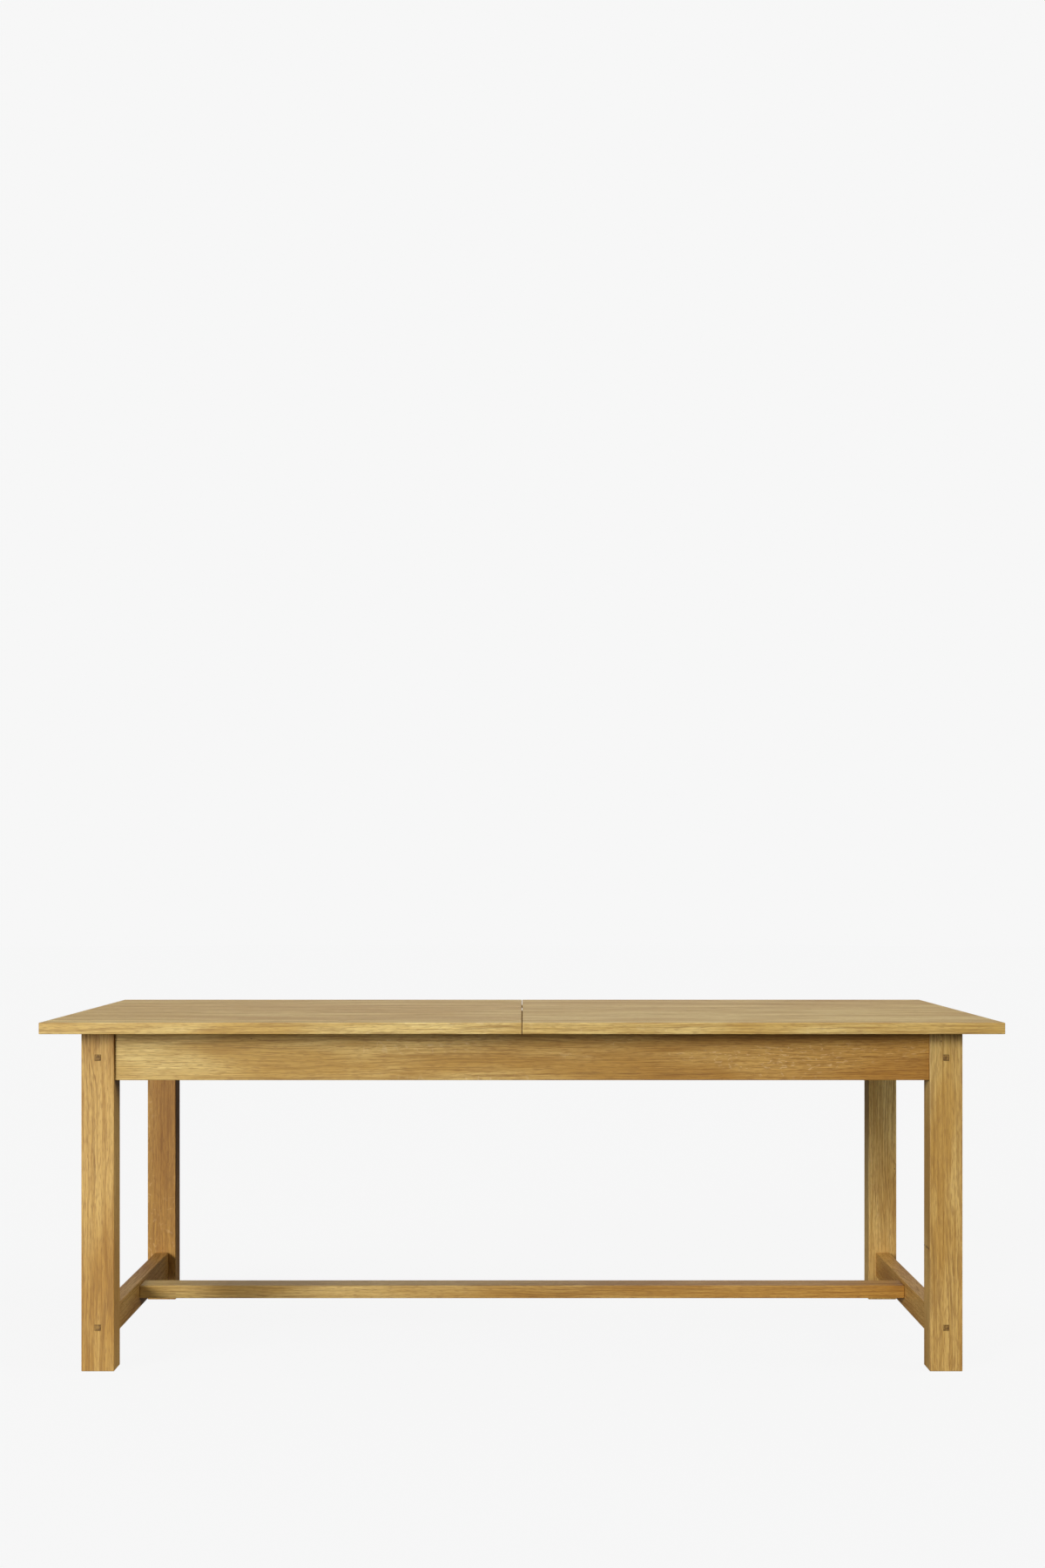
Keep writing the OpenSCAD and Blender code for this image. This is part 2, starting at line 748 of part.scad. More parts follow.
module bolt_keepers() color(brass) for (sy = [-1, 1]) quarter(-1, sy) difference() {
    translate([housing_x0, seam_bolt_y - housing_w / 2, underside_z - housing_h])
        cube([keeper_l, housing_w, housing_h]);
    rod_x([housing_x0 - 1, seam_bolt_y, seam_bolt_z], keeper_bore_r, keeper_bore_l + 1);
}

top_left();
top_right();
seam_dowels();
leg_front_left();
leg_front_right();
leg_rear_left();
leg_rear_right();
apron_front();
apron_rear();
apron_left();
apron_right();
end_stretcher_left();
end_stretcher_right();
centre_stretcher();
apron_pegs();
stretcher_bolt_plugs();
stretcher_bolts();
barrel_nuts();
corner_braces();
brace_bolts();
floor_glides();
cross_rails_inner();
cross_rails_outer();
fixed_rail_front();
fixed_rail_rear();
rail_screws();
fixed_channels_front();
fixed_channels_rear();
ball_cage_front_left();
ball_cage_front_right();
ball_cage_rear_left();
ball_cage_rear_right();
moving_channels_left();
moving_channels_right();
runner_front_left();
runner_front_right();
runner_rear_left();
runner_rear_right();
cleats_left();
cleats_right();
top_screws_left();
top_screws_right();
rack_front_left();
rack_front_right();
rack_rear_left();
rack_rear_right();
pinion_front();
pinion_rear();
pinion_brackets();
pinion_axles();
axle_clips();
leaf_lower();
leaf_upper();
leaf_hinges();
leaf_dowels();
leaf_bearers();
bolt_housings();
seam_bolt_front();
seam_bolt_rear();
bolt_keepers();
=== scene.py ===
"""Oak refectory dining table whose top parts at a centre seam.

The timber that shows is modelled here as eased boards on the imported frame's places, and the hidden
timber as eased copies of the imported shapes. The slides, racks, screws and other hardware keep their
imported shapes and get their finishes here. Units are metres.
"""

import json
import math
import random

import bmesh
import bpy
from mathutils import Matrix, Vector

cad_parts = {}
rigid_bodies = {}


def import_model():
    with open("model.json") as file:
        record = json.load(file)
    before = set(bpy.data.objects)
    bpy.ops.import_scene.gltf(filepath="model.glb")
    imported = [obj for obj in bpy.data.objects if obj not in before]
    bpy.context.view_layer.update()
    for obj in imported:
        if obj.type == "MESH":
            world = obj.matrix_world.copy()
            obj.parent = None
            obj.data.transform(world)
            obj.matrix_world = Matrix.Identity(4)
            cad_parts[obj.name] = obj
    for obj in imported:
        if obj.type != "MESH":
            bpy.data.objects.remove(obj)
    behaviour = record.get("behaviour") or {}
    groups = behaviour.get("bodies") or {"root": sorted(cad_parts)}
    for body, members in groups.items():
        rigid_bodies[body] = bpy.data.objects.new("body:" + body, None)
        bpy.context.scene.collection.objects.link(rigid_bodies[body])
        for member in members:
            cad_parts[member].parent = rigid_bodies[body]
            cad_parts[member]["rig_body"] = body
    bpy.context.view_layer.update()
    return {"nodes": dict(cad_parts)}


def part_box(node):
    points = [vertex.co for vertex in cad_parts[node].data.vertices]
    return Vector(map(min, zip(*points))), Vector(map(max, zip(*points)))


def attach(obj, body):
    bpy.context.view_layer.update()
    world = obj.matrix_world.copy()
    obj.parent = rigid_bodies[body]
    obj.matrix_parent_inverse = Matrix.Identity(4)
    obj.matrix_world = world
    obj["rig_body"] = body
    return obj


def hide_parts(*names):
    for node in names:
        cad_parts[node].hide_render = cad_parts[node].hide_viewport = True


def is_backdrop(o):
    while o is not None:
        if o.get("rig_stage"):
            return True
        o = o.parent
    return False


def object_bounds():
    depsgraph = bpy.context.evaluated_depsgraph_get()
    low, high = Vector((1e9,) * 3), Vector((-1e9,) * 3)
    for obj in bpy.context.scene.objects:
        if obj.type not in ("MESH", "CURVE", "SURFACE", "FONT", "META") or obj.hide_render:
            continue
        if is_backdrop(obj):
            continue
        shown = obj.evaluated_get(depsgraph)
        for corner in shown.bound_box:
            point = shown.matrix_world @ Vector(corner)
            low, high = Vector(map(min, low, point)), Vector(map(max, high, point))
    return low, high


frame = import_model()

MM = 0.001
SIDES = ("left", "right")
ENDS = ("front", "rear")
SEED = 11

# ---------------------------------------------------------------------------------------------
# Camera, floor, backdrop and light
# ---------------------------------------------------------------------------------------------

CAMERA_PLACE = Vector((0.0012, -5.368, 1.051))
CAMERA_SENSOR = 36.0
CAMERA_LENS = 51.21
CAMERA_SHIFT_Y = 0.0697

PALE_HEX = "f7f7f7"
STAGE_RADIUS = 40.0
FLOOR_SEGMENTS = 64
BACKDROP_SEGMENTS = 48
# How much of the floor's colour answers to light and shadow; the rest is its own even glow
FLOOR_SHADOW_SHARE = 0.03

WORLD_HEX = "ffffff"
WORLD_STRENGTH = 0.08
# Name, azimuth and elevation in degrees, strength, and spread in degrees of each soft light
LIGHTS = (
    ("key_light", -35.0, 17.0, 2.35, 24.0),
    ("fill_light", 74.0, 23.0, 2.0, 34.0),
    ("sky_light", 0.0, 88.0, 0.72, 110.0),
    ("backdrop_bounce", 180.0, 38.0, 0.36, 40.0),
)
REFLECTOR_PLACE = Vector((-2.3, -2.0, 0.45))
REFLECTOR_TARGET = Vector((-0.4, -0.47, 0.6))
REFLECTOR_SIZE = 1.2
REFLECTOR_POWER = 14.0


def linear(hex_colour):
    """An sRGB hex colour as linear RGBA."""
    channels = [int(hex_colour[i : i + 2], 16) / 255 for i in (0, 2, 4)]
    return [c / 12.92 if c <= 0.04045 else ((c + 0.055) / 1.055) ** 2.4 for c in channels] + [1.0]


def add_node(tree, kind, values=None, links=None):
    """Adds a shader node. Values are inputs or properties by name; a ramp is a list of stops. A link
    comes from a socket, or from a node's first output."""
    made = tree.nodes.new(kind)
    for key, value in (values or {}).items():
        if key == "ramp":
            stops = made.color_ramp.elements
            while len(stops) < len(value):
                stops.new(0.5)
            for stop, (place, colour) in zip(stops, value):
                stop.position = place
                stop.color = colour
        elif isinstance(key, int) or key in made.inputs:
            made.inputs[key].default_value = value
        else:
            setattr(made, key, value)
    for key, source in (links or {}).items():
        socket = source if isinstance(source, bpy.types.NodeSocket) else source.outputs[0]
        tree.links.new(socket, made.inputs[key])
    return made


def new_material(name):
    """An empty node material and its output node."""
    material = bpy.data.materials.new(name)
    material.use_nodes = True
    tree = material.node_tree
    tree.nodes.clear()
    return material, tree, add_node(tree, "ShaderNodeOutputMaterial")


def finish_mesh(bm, name, materials):
    """Turns a bmesh into an object at the origin with its materials."""
    mesh = bpy.data.meshes.new(name)
    bm.to_mesh(mesh)
    bm.free()
    for material in materials:
        mesh.materials.append(material)
    piece = bpy.data.objects.new(name, mesh)
    bpy.context.scene.collection.objects.link(piece)
    return piece


def make_camera():
    """A level camera whose picture is shifted down to the table."""
    data = bpy.data.cameras.new("camera")
    data.sensor_width = CAMERA_SENSOR
    data.lens = CAMERA_LENS
    data.shift_y = CAMERA_SHIFT_Y
    data.dof.use_dof = False
    camera = bpy.data.objects.new("camera", data)
    camera.location = CAMERA_PLACE
    camera.rotation_euler = (math.radians(90), 0, 0)
    bpy.context.scene.collection.objects.link(camera)
    bpy.context.scene.camera = camera


def make_sun(name, azimuth, elevation, strength, spread):
    """A soft distant light; azimuth 0 shines from the front, negative from the left."""
    data = bpy.data.lights.new(name, "SUN")
    data.energy = strength
    data.angle = math.radians(spread)
    sun = bpy.data.objects.new(name, data)
    a, e = math.radians(azimuth), math.radians(elevation)
    towards = Vector((math.sin(a) * math.cos(e), -math.cos(a) * math.cos(e), math.sin(e)))
    sun.rotation_euler = towards.to_track_quat("Z", "Y").to_euler()
    bpy.context.scene.collection.objects.link(sun)


def make_reflector():
    """A low white reflector to the left, which fills the shadow under the top's left part."""
    data = bpy.data.lights.new("reflector", "AREA")
    data.size = REFLECTOR_SIZE
    data.energy = REFLECTOR_POWER
    light = bpy.data.objects.new("reflector", data)
    light.location = REFLECTOR_PLACE
    light.rotation_euler = (REFLECTOR_PLACE - REFLECTOR_TARGET).to_track_quat("Z", "Y").to_euler()
    light.visible_camera = False
    bpy.context.scene.collection.objects.link(light)


def floor_material():
    """Pale paper: mostly its own light, so that it stays even, with a faint shadow. It is clear from
    below, so the underside can be looked at."""
    material, tree, output = new_material("pale_paper")
    glow = add_node(tree, "ShaderNodeEmission", {"Color": linear(PALE_HEX)})
    paper = add_node(tree, "ShaderNodeBsdfDiffuse", {"Color": linear(PALE_HEX)})
    even = add_node(tree, "ShaderNodeMixShader", {0: FLOOR_SHADOW_SHARE}, {1: glow, 2: paper})
    clear = add_node(tree, "ShaderNodeBsdfTransparent")
    side = add_node(tree, "ShaderNodeNewGeometry")
    surface = add_node(tree, "ShaderNodeMixShader", links={
        0: side.outputs["Backfacing"], 1: even, 2: clear})
    tree.links.new(surface.outputs[0], output.inputs["Surface"])
    return material


def backdrop_material():
    """Even pale light all round."""
    material, tree, output = new_material("pale_backdrop")
    glow = add_node(tree, "ShaderNodeEmission", {"Color": linear(PALE_HEX)})
    tree.links.new(glow.outputs[0], output.inputs["Surface"])
    return material


def make_stage():
    """A pale floor and backdrop that only the camera sees, so they cast no light on the table."""
    bm = bmesh.new()
    bmesh.ops.create_circle(bm, cap_ends=True, segments=FLOOR_SEGMENTS, radius=STAGE_RADIUS)
    floor = finish_mesh(bm, "floor", [floor_material()])
    bm = bmesh.new()
    bmesh.ops.create_uvsphere(bm, u_segments=BACKDROP_SEGMENTS, v_segments=BACKDROP_SEGMENTS // 2,
                              radius=STAGE_RADIUS)
    backdrop = finish_mesh(bm, "backdrop", [backdrop_material()])
    for piece in (floor, backdrop):
        piece.visible_diffuse = False
        piece.visible_glossy = False
        piece.visible_shadow = False
        piece.visible_transmission = False
        piece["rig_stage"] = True


def make_world():
    """A little even light from all round."""
    world = bpy.data.worlds.new("studio")
    world.use_nodes = True
    tree = world.node_tree
    tree.nodes["Background"].inputs["Color"].default_value = linear(WORLD_HEX)
    tree.nodes["Background"].inputs["Strength"].default_value = WORLD_STRENGTH
    bpy.context.scene.world = world


make_camera()
make_stage()
make_world()
for light in LIGHTS:
    make_sun(*light)
make_reflector()
bpy.context.scene.view_settings.view_transform = "Standard"

# ---------------------------------------------------------------------------------------------
# Materials
# ---------------------------------------------------------------------------------------------

MATHS = "ShaderNodeMath"
VECTOR_MATHS = "ShaderNodeVectorMath"
NOISE = "ShaderNodeTexNoise"
RAMP = "ShaderNodeValToRGB"
BUMP = "ShaderNodeBump"
SURFACE = "ShaderNodeBsdfPrincipled"
# A range node's inputs 1 to 4 are its from-low, from-high, to-low and to-high
RANGE = "ShaderNodeMapRange"
EASED = {"interpolation_type": "SMOOTHSTEP"}

# Turns object coordinates so that the grain runs along X
GRAIN_TURN = {"x": (0, 0, 0), "y": (0, 0, -math.pi / 2), "z": (0, math.pi / 2, 0)}

# Oak's rings, drawn coarser than most real ones, 2 to 4 mm, so that they show from the camera
RING_SPACING = 6.5 * MM
RING_UNEVENNESS = 14 * MM
HEART_WANDER = 75 * MM
# Knots lie in cells over length and arc: how many cells to a metre, the share without a knot, and
# in parts of a cell where a knot fades and how far it pulls the rings aside
KNOT_ARC = 120 * MM
KNOTS_PER_METRE = 4.3
KNOTLESS_SHARE = 0.74
KNOT_SIZE = (0.006, 0.012)
SWIRL_REACH = 0.12
SWIRL_DEPTH = 6 * MM
OAK_PALE = "e2c67f"
OAK_VESSELS = "8f6a32"
OAK_RAY = "fff0cc"
OAK_PORE = "a07a42"
OAK_KNOT = "4c2f18"
# Multiplied in by the tone attribute: the wood's deeper tone, and painted shade
OAK_DEEP_AND_SHADE = "d6b37a"
OAK_CLOUD = "e2d3b6"


def grain_vector(tree, grain):
    """Object coordinates turned to the grain and moved by the board's own place in its log."""
    place = add_node(tree, "ShaderNodeTexCoord").outputs["Object"]
    turned = add_node(tree, "ShaderNodeMapping", {"Rotation": GRAIN_TURN[grain]}, {"Vector": place})
    board = add_node(tree, "ShaderNodeAttribute", {"attribute_name": "board"})
    return add_node(tree, VECTOR_MATHS, {"operation": "ADD"}, {0: turned, 1: board.outputs["Vector"]})


def stretched_noise(tree, vector, along, across, detail):
    """Noise with the given number of waves per metre along and across the grain."""
    scaled = add_node(tree, VECTOR_MATHS, {"operation": "MULTIPLY", 1: (along, across, across)},
                      {0: vector})
    return add_node(tree, NOISE, {"Scale": 1.0, "Detail": detail}, {"Vector": scaled})


def oak(name, grain):
    """European oak, planed, sanded and hard-wax oiled: honey coloured, with broken dark lines of
    open vessels where each year's growth starts, soft fibre streaks, pale flecks where the saw runs
    along the rays, a few pin knots, and a satin surface whose pores stay open. A per-board tone
    deepens it, partly as painted shade and painted light."""
    material, tree, output = new_material(name)
    vector = grain_vector(tree, grain)

    # The log isn't a true cylinder: its heart wanders along its length
    wander = stretched_noise(tree, vector, 1.6, 7.0, 2.0)
    centred = add_node(tree, VECTOR_MATHS, {"operation": "SUBTRACT", 1: (0.5, 0.5, 0.5)},
                       {0: wander.outputs["Color"]})
    bent = add_node(tree, VECTOR_MATHS, {
        "operation": "MULTIPLY_ADD", 1: (0.0, HEART_WANDER, HEART_WANDER)}, {0: centred, 2: vector})
    across = add_node(tree, VECTOR_MATHS, {"operation": "MULTIPLY", 1: (0.0, 1.0, 1.0)}, {0: bent})
    radius = add_node(tree, VECTOR_MATHS, {"operation": "LENGTH"}, {0: across}).outputs["Value"]
    parts = add_node(tree, "ShaderNodeSeparateXYZ", links={0: bent})
    angle = add_node(tree, MATHS, {"operation": "ARCTAN2"},
                     {0: parts.outputs["Y"], 1: parts.outputs["Z"]})

    # Knots are radial, so they are scattered over length and angle only
    arc = add_node(tree, MATHS, {"operation": "MULTIPLY", 1: KNOT_ARC}, {0: angle})
    around = add_node(tree, "ShaderNodeCombineXYZ", links={0: parts.outputs["X"], 1: arc})
    knots = add_node(tree, "ShaderNodeTexVoronoi", {
        "voronoi_dimensions": "2D", "Scale": KNOTS_PER_METRE}, {"Vector": around})
    draw = add_node(tree, "ShaderNodeSeparateColor", links={0: knots.outputs["Color"]})
    chosen = add_node(tree, MATHS, {"operation": "GREATER_THAN", 1: KNOTLESS_SHARE}, {0: draw})
    core = add_node(tree, RANGE, {**EASED, 1: KNOT_SIZE[0], 2: KNOT_SIZE[1], 3: 0.85, 4: 0.0},
                    {0: knots.outputs["Distance"]})
    knot = add_node(tree, MATHS, {"operation": "MULTIPLY"}, {0: core, 1: chosen})
    pull = add_node(tree, RANGE, {**EASED, 1: 0.0, 2: SWIRL_REACH, 3: SWIRL_DEPTH, 4: 0.0},
                    {0: knots.outputs["Distance"]})
    swirl = add_node(tree, MATHS, {"operation": "MULTIPLY_ADD"}, {0: pull, 1: chosen, 2: radius})

    # Yearly rings, unevenly wide; the vessels that open each ring show as broken dark lines
    uneven = add_node(tree, NOISE, {
        "noise_dimensions": "1D", "Scale": 70.0, "Detail": 2.0}, {"W": radius})
    ring_place = add_node(tree, MATHS, {"operation": "MULTIPLY_ADD", 1: RING_UNEVENNESS},
                          {0: uneven, 2: swirl})
    wobble = stretched_noise(tree, vector, 5.0, 80.0, 3.0)
    years = add_node(tree, MATHS, {"operation": "DIVIDE", 1: RING_SPACING}, {0: ring_place})
    wavy = add_node(tree, MATHS, {"operation": "MULTIPLY_ADD", 1: 0.8}, {0: wobble, 2: years})
    season = add_node(tree, MATHS, {"operation": "FRACT"}, {0: wavy})
    opening = add_node(tree, RANGE, {**EASED, 1: 0.0, 2: 0.12, 3: 0.0, 4: 1.0}, {0: season})
    closing = add_node(tree, RANGE, {**EASED, 1: 0.12, 2: 0.55, 3: 1.0, 4: 0.0}, {0: season})
    early = add_node(tree, MATHS, {"operation": "MULTIPLY"}, {0: opening, 1: closing})
    dashes = stretched_noise(tree, vector, 16.0, 520.0, 3.0)
    dash = add_node(tree, RANGE, {**EASED, 1: 0.36, 2: 0.62, 3: 0.1, 4: 1.0}, {0: dashes})
    broken = add_node(tree, MATHS, {"operation": "MULTIPLY"}, {0: early, 1: dash})
    patches = stretched_noise(tree, vector, 3.0, 22.0, 2.0)
    patch = add_node(tree, RANGE, {**EASED, 1: 0.36, 2: 0.62, 3: 0.28, 4: 0.80}, {0: patches})
    vessels = add_node(tree, MATHS, {"operation": "MULTIPLY"}, {0: broken, 1: patch})
    # Pores drawn about twice as coarse as the real 0.3 mm, or they wouldn't show
    pores = stretched_noise(tree, vector, 50.0, 700.0, 1.0)
    pore = add_node(tree, RANGE, {**EASED, 1: 0.50, 2: 0.66, 3: 0.0, 4: 0.55}, {0: pores})

    # Fibres a few millimetres wide, and slow changes of colour through the board
    fibres = stretched_noise(tree, vector, 7.0, 340.0, 4.0)
    clouds = stretched_noise(tree, vector, 2.6, 13.0, 3.0)
    cloud = add_node(tree, RANGE, {**EASED, 1: 0.36, 2: 0.62, 3: 1.0, 4: 0.0}, {0: clouds})
    # Rays: thin sheets that run outwards from the heart, seen where the saw ran along them
    polar = add_node(tree, "ShaderNodeCombineXYZ", links={0: parts.outputs["X"], 1: radius, 2: angle})
    ray_place = add_node(tree, VECTOR_MATHS, {"operation": "MULTIPLY", 1: (75.0, 24.0, 40.0)},
                         {0: polar})
    rays = add_node(tree, NOISE, {"Scale": 1.0, "Detail": 1.0, "Distortion": 0.8},
                    {"Vector": ray_place})
    ray_share = add_node(tree, "ShaderNodeAttribute", {"attribute_name": "rays"}).outputs["Fac"]
    fleck = add_node(tree, RANGE, {**EASED, 1: 0.60, 2: 0.68, 3: 0.0, 4: 0.6}, {0: rays})
    shared = add_node(tree, MATHS, {"operation": "MULTIPLY"}, {0: fleck, 1: ray_share})
    ray_patch = add_node(tree, RANGE, {**EASED, 1: 0.45, 2: 0.60, 3: 0.0, 4: 1.0}, {0: clouds})
    ray = add_node(tree, MATHS, {"operation": "MULTIPLY"}, {0: shared, 1: ray_patch})
    # Per-board tone: partly the wood's own depth of tone, partly painted shade and painted light set to
    # how each part is lit
    tone = add_node(tree, "ShaderNodeAttribute", {"attribute_name": "tone"}).outputs["Fac"]

    # Each layer is laid over the one before: how it blends, its colour and where it lies
    colour = add_node(tree, RAMP, {"ramp": [
        (0.30, linear("c2a05c")), (0.52, linear(OAK_PALE)), (0.72, linear("ecd38c"))]},
        {0: fibres}).outputs[0]
    for mode, over, where in (("MULTIPLY", OAK_CLOUD, cloud), ("MIX", OAK_VESSELS, vessels),
                              ("MIX", OAK_RAY, ray), ("MIX", OAK_PORE, pore),
                              ("MIX", OAK_KNOT, knot), ("MULTIPLY", OAK_DEEP_AND_SHADE, tone)):
        colour = add_node(tree, "ShaderNodeMix", {
            "data_type": "RGBA", "blend_type": mode, 7: linear(over)}, {0: where, 6: colour}).outputs[2]

    height = add_node(tree, MATHS, {"operation": "ADD"}, {0: vessels, 1: pore})
    bump = add_node(tree, BUMP, {"Strength": 0.35, "Distance": 0.25 * MM, "invert": True},
                    {"Height": height})
    rough = add_node(tree, RANGE, {**EASED, 1: 0.0, 2: 1.0, 3: 0.42, 4: 0.60}, {0: height})
    surface = add_node(tree, SURFACE, {"IOR": 1.48},
                       {"Base Color": colour, "Normal": bump, "Roughness": rough})
    tree.links.new(surface.outputs[0], output.inputs["Surface"])
    return material


def oak_end_grain():
    """Oak pegs with their end grain outwards: the open ends of the vessels drink the oil, so they
    are much darker than the boards, with paler rays across them."""
    material, tree, output = new_material("oiled_oak_end_grain")
    place = add_node(tree, "ShaderNodeTexCoord").outputs["Object"]
    dots = add_node(tree, NOISE, {"Scale": 650.0, "Detail": 2.0}, {"Vector": place})
    rings = add_node(tree, NOISE, {"Scale": 210.0, "Detail": 0.0}, {"Vector": place})
    mixed = add_node(tree, MATHS, {"operation": "MULTIPLY"}, {0: dots, 1: rings})
    colour = add_node(tree, RAMP, {"ramp": [
        (0.14, linear("6b4a1b")), (0.36, linear("9d7838"))]}, {0: mixed})
    bump = add_node(tree, BUMP, {"Strength": 0.4, "Distance": 0.2 * MM}, {"Height": dots})
    surface = add_node(tree, SURFACE, {"IOR": 1.48, "Roughness": 0.6},
                       {"Base Color": colour, "Normal": bump})
    tree.links.new(surface.outputs[0], output.inputs["Surface"])
    return material


def beech(name, grain):
    """Steamed beech, planed and left bare: even pinkish tan with short dark ray flecks, matt."""
    material, tree, output = new_material(name)
    vector = grain_vector(tree, grain)
    streaks = stretched_noise(tree, vector, 4.0, 150.0, 3.0)
    flecks = stretched_noise(tree, vector, 180.0, 900.0, 0.0)
    colour = add_node(tree, RAMP, {"ramp": [
        (0.30, linear("c59a70")), (0.70, linear("dcb78e"))]}, {0: streaks})
    fleck = add_node(tree, RANGE, {1: 0.64, 2: 0.72, 3: 0.0, 4: 0.45}, {0: flecks})
    mixed = add_node(tree, "ShaderNodeMix", {"data_type": "RGBA", 7: linear("93663e")},
                     {0: fleck, 6: colour})
    bump = add_node(tree, BUMP, {"Strength": 0.2, "Distance": 0.2 * MM}, {"Height": streaks})
    surface = add_node(tree, SURFACE, {"Roughness": 0.62},
                       {"Base Color": mixed.outputs[2], "Normal": bump})
    tree.links.new(surface.outputs[0], output.inputs["Surface"])
    return material


def metal(name, dark, light, roughness, along, across):
    """A metal with its working marks: streaks along X and a slightly uneven polish."""
    material, tree, output = new_material(name)
    place = add_node(tree, "ShaderNodeTexCoord").outputs["Object"]
    marks = stretched_noise(tree, place, along, across, 2.0)
    patches = add_node(tree, NOISE, {"Scale": 45.0, "Detail": 2.0}, {"Vector": place})
    colour = add_node(tree, RAMP, {"ramp": [
        (0.30, linear(dark)), (0.70, linear(light))]}, {0: patches})
    rough = add_node(tree, RANGE, {3: roughness - 0.08, 4: roughness + 0.10}, {0: marks})
    bump = add_node(tree, BUMP, {"Strength": 0.15, "Distance": 0.05 * MM}, {"Height": marks})
    surface = add_node(tree, SURFACE, {"Metallic": 1.0},
                       {"Base Color": colour, "Roughness": rough, "Normal": bump})
    tree.links.new(surface.outputs[0], output.inputs["Surface"])
    return material


def moulded_plastic(name, dark, light, roughness):
    """Injection-moulded plastic: one colour with the faint orange-peel of the tool."""
    material, tree, output = new_material(name)
    place = add_node(tree, "ShaderNodeTexCoord").outputs["Object"]
    peel = add_node(tree, NOISE, {"Scale": 420.0, "Detail": 1.0}, {"Vector": place})
    patches = add_node(tree, NOISE, {"Scale": 30.0, "Detail": 2.0}, {"Vector": place})
    colour = add_node(tree, RAMP, {"ramp": [
        (0.30, linear(dark)), (0.70, linear(light))]}, {0: patches})
    bump = add_node(tree, BUMP, {"Strength": 0.2, "Distance": 0.1 * MM}, {"Height": peel})
    surface = add_node(tree, SURFACE, {"IOR": 1.53, "Roughness": roughness},
                       {"Base Color": colour, "Normal": bump})
    tree.links.new(surface.outputs[0], output.inputs["Surface"])
    return material


OAK = {grain: oak(f"oiled_oak_grain_{grain}", grain) for grain in "xyz"}
BEECH = {grain: beech(f"planed_beech_grain_{grain}", grain) for grain in "xy"}
END_GRAIN = oak_end_grain()
ZINC = metal("zinc_plated_steel", "a9adb1", "c6cacd", 0.36, 30.0, 900.0)
BRASS = metal("drawn_brass", "b08a45", "cfa962", 0.32, 40.0, 1200.0)
NYLON = moulded_plastic("moulded_nylon", "ddd8c8", "ece7d9", 0.48)
GLIDE_PLASTIC = moulded_plastic("moulded_dark_polythene", "1e1a17", "2b2622", 0.55)

# ---------------------------------------------------------------------------------------------
# Timber that shows
# ---------------------------------------------------------------------------------------------

ARRIS = 1.4 * MM
EASE_SEGMENTS = 2
JOINT_GAP = 0.35 * MM
# How far along an endless log a board may lie, and how far its heart is aside of and below it
LOG_LENGTH = 40.0
HEART_ASIDE = 0.06
HEART_BELOW = (0.05, 0.12)
HOLE_SEGMENTS = 32
# How far a cutter starts outside the wood
CUTTER_LEAD = 2 * MM
randoms = random.Random(SEED)


def log_place(centre, grain, heart):
    """What moves a point into its log, where the grain runs along X and the heart is the X axis.
    heart is how far the board's centre lies from it, across the grain."""
    turned = {"x": centre, "y": Vector((centre.y, -centre.x, centre.z)),
              "z": Vector((centre.z, centre.y, -centre.x))}[grain]
    return Vector((randoms.uniform(0, LOG_LENGTH), heart[0], heart[1])) - turned


def add_box(bm, low, high):
    """Adds a box between two corners."""
    made = bmesh.ops.create_cube(bm, size=1.0)["verts"]
    bmesh.ops.scale(bm, vec=high - low, verts=made)
    bmesh.ops.translate(bm, vec=(low + high) / 2, verts=made)


def ease(bm, offset):
    """Eases every edge of the bmesh."""
    bmesh.ops.bevel(bm, geom=bm.edges[:], offset=offset, offset_type="OFFSET", affect="EDGES",
                    segments=EASE_SEGMENTS, profile=0.5, material=-1)


def mark_board(piece, place, looks, axis):
    """Writes a board's place in its log on faces, and its tone, which holds painted shade and light
    too, and its rays, end to end, on vertices.
    """
    mesh = piece.data
    for item in mesh.attributes.new("board", "FLOAT_VECTOR", "FACE").data:
        item.vector = place
    spots = [vertex.co[axis] for vertex in mesh.vertices]
    low, length = min(spots), max(spots) - min(spots)
    for name in ("tone", "rays"):
        first, last = looks[name]
        for item, spot in zip(mesh.attributes.new(name, "FLOAT", "POINT").data, spots):
            item.value = first + (last - first) * (spot - low) / length


def settle(piece, body, slot, *nodes):
    """Rides a piece on its body and hides the nodes it stands for."""
    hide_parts(*nodes)
    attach(piece, body)
    return piece


def cut(piece, bm):
    """Cuts the bmesh's shape out of a piece."""
    cutter = finish_mesh(bm, "cutter", [])
    difference = piece.modifiers.new("cut", "BOOLEAN")
    difference.operation = "DIFFERENCE"
    difference.solver = "EXACT"
    difference.object = cutter
    mesh = bpy.data.meshes.new_from_object(piece.evaluated_get(bpy.context.evaluated_depsgraph_get()))
    piece.modifiers.clear()
    piece.data = mesh
    bpy.data.objects.remove(cutter)


def drill(piece, places, radius, depth, direction):
    """Drills blind holes from the given points along a direction."""
    bm = bmesh.new()
    turn = direction.to_track_quat("Z", "Y").to_matrix().to_4x4()
    for place in places:
        middle = Matrix.Translation(place + direction * (depth - CUTTER_LEAD) / 2)
        bmesh.ops.create_cone(bm, cap_ends=True, segments=HOLE_SEGMENTS, radius1=radius,
                              radius2=radius, depth=depth + CUTTER_LEAD, matrix=middle @ turn)
    cut(piece, bm)


def look(heart, tone, rays=(0.15, 0.15)):
    """How a board looks: where it lay in the log, and its depth of tone, partly painted shade and
    light, and rays from end to end.
    """
    return {"heart": heart, "tone": tone, "rays": rays}


